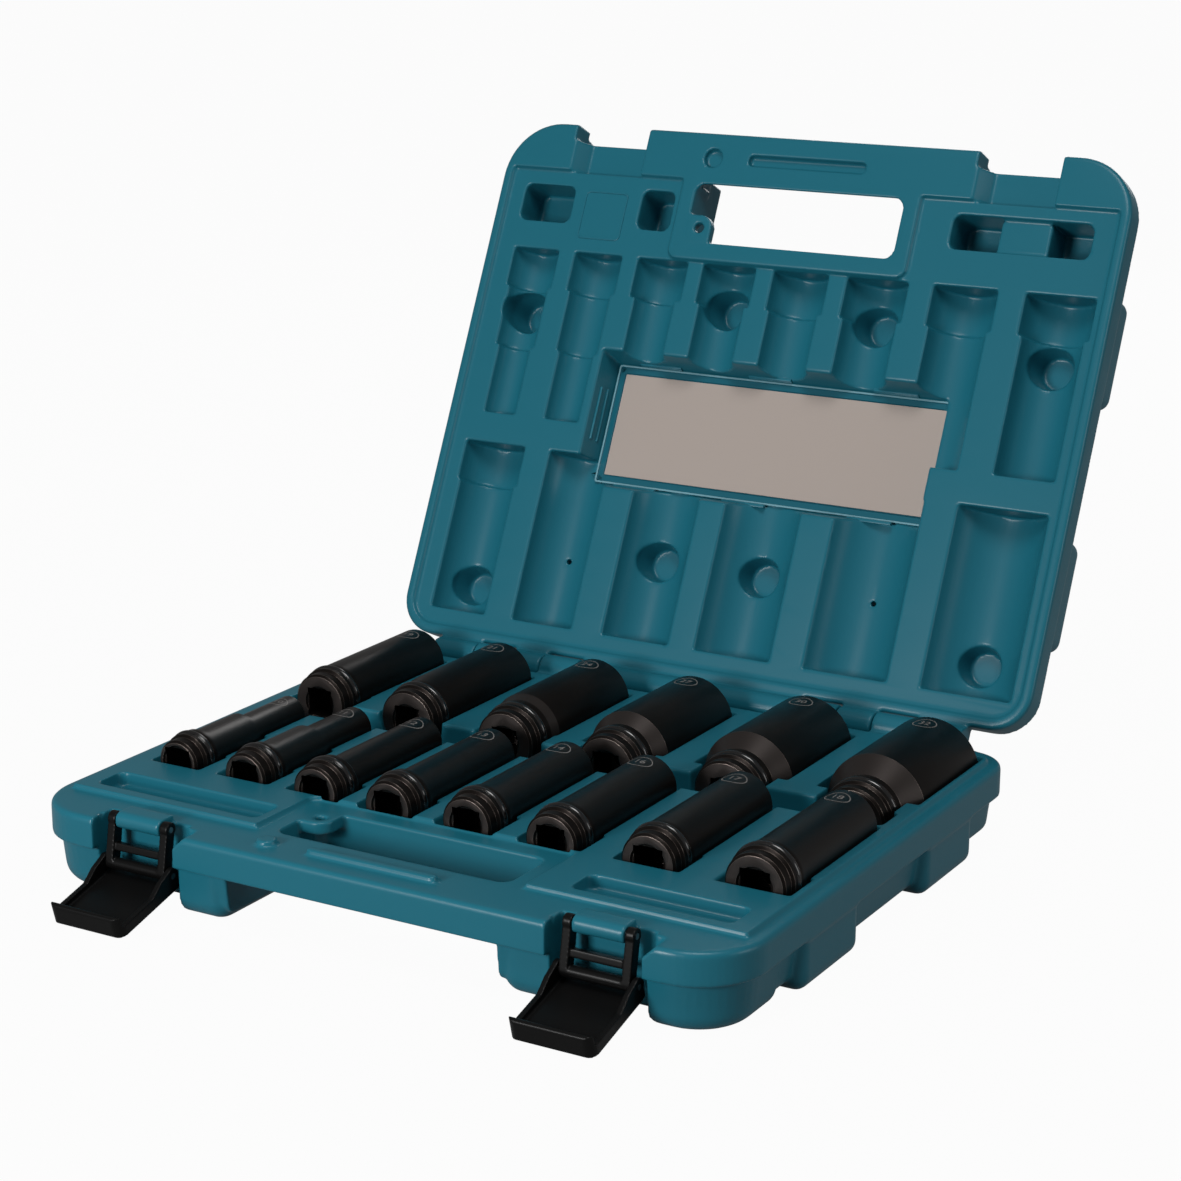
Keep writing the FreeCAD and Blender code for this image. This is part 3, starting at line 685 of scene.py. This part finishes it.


# edges painted bright, partly rubbed wear and partly a painted highlight; cone and drive face painted lighter
# as a painted sheen
socketFinish = {"edgeMm": 0.3, "edgeDeg": 28, "faceSkin": 0.05, "coneEnd": 30.0, "coneFacing": -0.3}
for size, (nut, drive, form) in socketSizes.items():
    node = "socket_%d" % size
    low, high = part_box(node)
    x, y, z = (low.x + high.x) / 2, low.y, (low.z + high.z) / 2
    body = turnBody(socketStations(nut, drive, form), x, y, z)
    broach(body, size, drive, x, y, z)
    paint(body, steel, wornAndHighlightSteel, sheenSteel)
    # faces on the cone and the drive face take the painted sheen
    for face in body.data.polygons:
        along = (face.center.y - y) / mm
        beside = form == "cone" and socketShape["coneAt"] < along < socketFinish["coneEnd"]
        onCone = beside and face.normal.y < socketFinish["coneFacing"]
        if onCone or along < socketFinish["faceSkin"]:
            face.material_index = 2
    # bevelled edges take the lighter steel: wear plus painted highlight
    modify(body, "BEVEL", width=socketFinish["edgeMm"] * mm, segments=2, limit_method="ANGLE",
           angle_limit=math.radians(socketFinish["edgeDeg"]), use_clamp_overlap=True, material=1)
    smoothShade(body)
    ring = rubberRing(drive, x, y, z)
    paint(ring, rubber)
    mark = sizeMark(size, body, nut, x, y, z)
    paint(mark, etched)
    handOver(body, "socket%d" % size, node, "socket_steel", node)
    handOver(ring, "ring%d" % size, node, "ring_rubber", "oring_%d" % size)
    handOver(mark, "sizeMark%d" % size, node, "socket_steel")
print("sockets turned:", len(socketSizes))


# pins: the drawn solids shown as they are
for nodeName in ("hinge_pin", "link_pin_left", "link_pin_right", "plate_pin_left", "plate_pin_right"):
    paint(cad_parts[nodeName], wire)
print("pins painted")


# floor, light and camera
studio = {"floorMm": 12000, "floorDropMm": 0.2, "floorColour": "#888888", "floorWhite": 0.965,
          "world": 0.1, "mirrored": 0.12}


def whiteShare(owner, most):
    # how much of plain white is seen: all of it by the camera, a part in reflections and through clear pieces
    rays = addNode(owner, "ShaderNodeLightPath")
    bounced = addNode(owner, "ShaderNodeMath", None, operation="ADD",
                      links={0: rays.outputs["Is Glossy Ray"], 1: rays.outputs["Is Transmission Ray"]})
    seen = addNode(owner, "ShaderNodeMath", {1: studio["mirrored"]},
                   {0: bounced.outputs[0], 2: rays.outputs["Is Camera Ray"]}, operation="MULTIPLY_ADD")
    share = addNode(owner, "ShaderNodeMath", {1: most}, {0: seen.outputs[0]}, operation="MULTIPLY")
    return share.outputs[0]


def palePaper():
    # white paper floor: nearly white to the camera, still taking the object's soft shadow
    material, shader = freshMaterial("palePaper", Base_Color=linear(studio["floorColour"]), Roughness=0.9)
    glow = addNode(material, "ShaderNodeEmission", {"Color": (1, 1, 1, 1), "Strength": 1.0})
    mix = addNode(material, "ShaderNodeMixShader", None,
                  {0: whiteShare(material, studio["floorWhite"]), 1: shader.outputs[0], 2: glow.outputs[0]})
    output = material.node_tree.nodes["Material Output"]
    material.node_tree.links.new(mix.outputs[0], output.inputs["Surface"])
    return material


deselectAll()
bpy.ops.mesh.primitive_plane_add(size=studio["floorMm"] * mm, location=(0, 0, -studio["floorDropMm"] * mm))
floor = bpy.context.object
floor.name = "floor"
paint(floor, palePaper())

world = bpy.data.worlds.new("studioWorld")
world.use_nodes = True
bpy.context.scene.world = world
backdrop = world.node_tree.nodes["Background"]
backdrop.inputs["Color"].default_value = (1, 1, 1, 1)
backdrop.inputs["Strength"].default_value = studio["world"]
white = addNode(world, "ShaderNodeBackground", {"Color": (1, 1, 1, 1), "Strength": 1.0})
pickRay = addNode(world, "ShaderNodeMixShader", None,
                  {0: whiteShare(world, 1.0), 1: backdrop.outputs[0], 2: white.outputs[0]})
world.node_tree.links.new(pickRay.outputs[0], world.node_tree.nodes["World Output"].inputs["Surface"])


# lamps by degrees round from the front, degrees above the floor, distance, size and power
lampAim = Vector((0, 0.05, 0.08))


def softLamp(name, lampLook):
    around, above = math.radians(lampLook["around"]), math.radians(lampLook["above"])
    way = Vector((math.sin(around) * math.cos(above), -math.cos(around) * math.cos(above), math.sin(above)))
    deselectAll()
    bpy.ops.object.light_add(type="AREA", location=lampAim + way * lampLook["farM"])
    lamp = bpy.context.object
    lamp.name = name
    lamp.data.shape = "SQUARE"
    lamp.data.size = lampLook["sizeM"]
    lamp.data.energy = lampLook["watts"]
    lamp.rotation_euler = (-way).to_track_quat("-Z", "Y").to_euler()


softLamp("keyLamp", {"around": -13, "above": 13, "farM": 1.25, "sizeM": 0.35, "watts": 10.3})
softLamp("topLamp", {"around": 30, "above": 68, "farM": 1.5, "sizeM": 0.6, "watts": 10.0})
softLamp("fillLamp", {"around": 95, "above": 15, "farM": 1.6, "sizeM": 0.7, "watts": 4.2})
softLamp("backLamp", {"around": 190, "above": 22, "farM": 1.6, "sizeM": 0.8, "watts": 6.5})

# camera read from the photograph: place in mm, turn, tilt and roll in degrees
photoCamera = {"placeMm": (565.893, -918.707, 414.561), "turn": 30.3288, "tilt": 15.5276, "roll": 0.1655,
               "lensMm": 84.216, "sensorMm": 36.0, "clipM": (0.05, 50)}
deselectAll()
bpy.ops.object.camera_add()
camera = bpy.context.object
turn = Matrix.Rotation(math.radians(photoCamera["turn"]), 4, "Z")
tilt = Matrix.Rotation(math.radians(90 - photoCamera["tilt"]), 4, "X")
roll = Matrix.Rotation(math.radians(photoCamera["roll"]), 4, "Z")
place = Matrix.Translation(Vector(photoCamera["placeMm"]) * mm)
camera.matrix_world = place @ turn @ tilt @ roll
camera.data.lens = photoCamera["lensMm"]
camera.data.sensor_width = photoCamera["sensorMm"]
camera.data.clip_start, camera.data.clip_end = photoCamera["clipM"]
bpy.context.scene.camera = camera
bpy.context.scene.view_settings.view_transform = "Standard"
print("studio set")
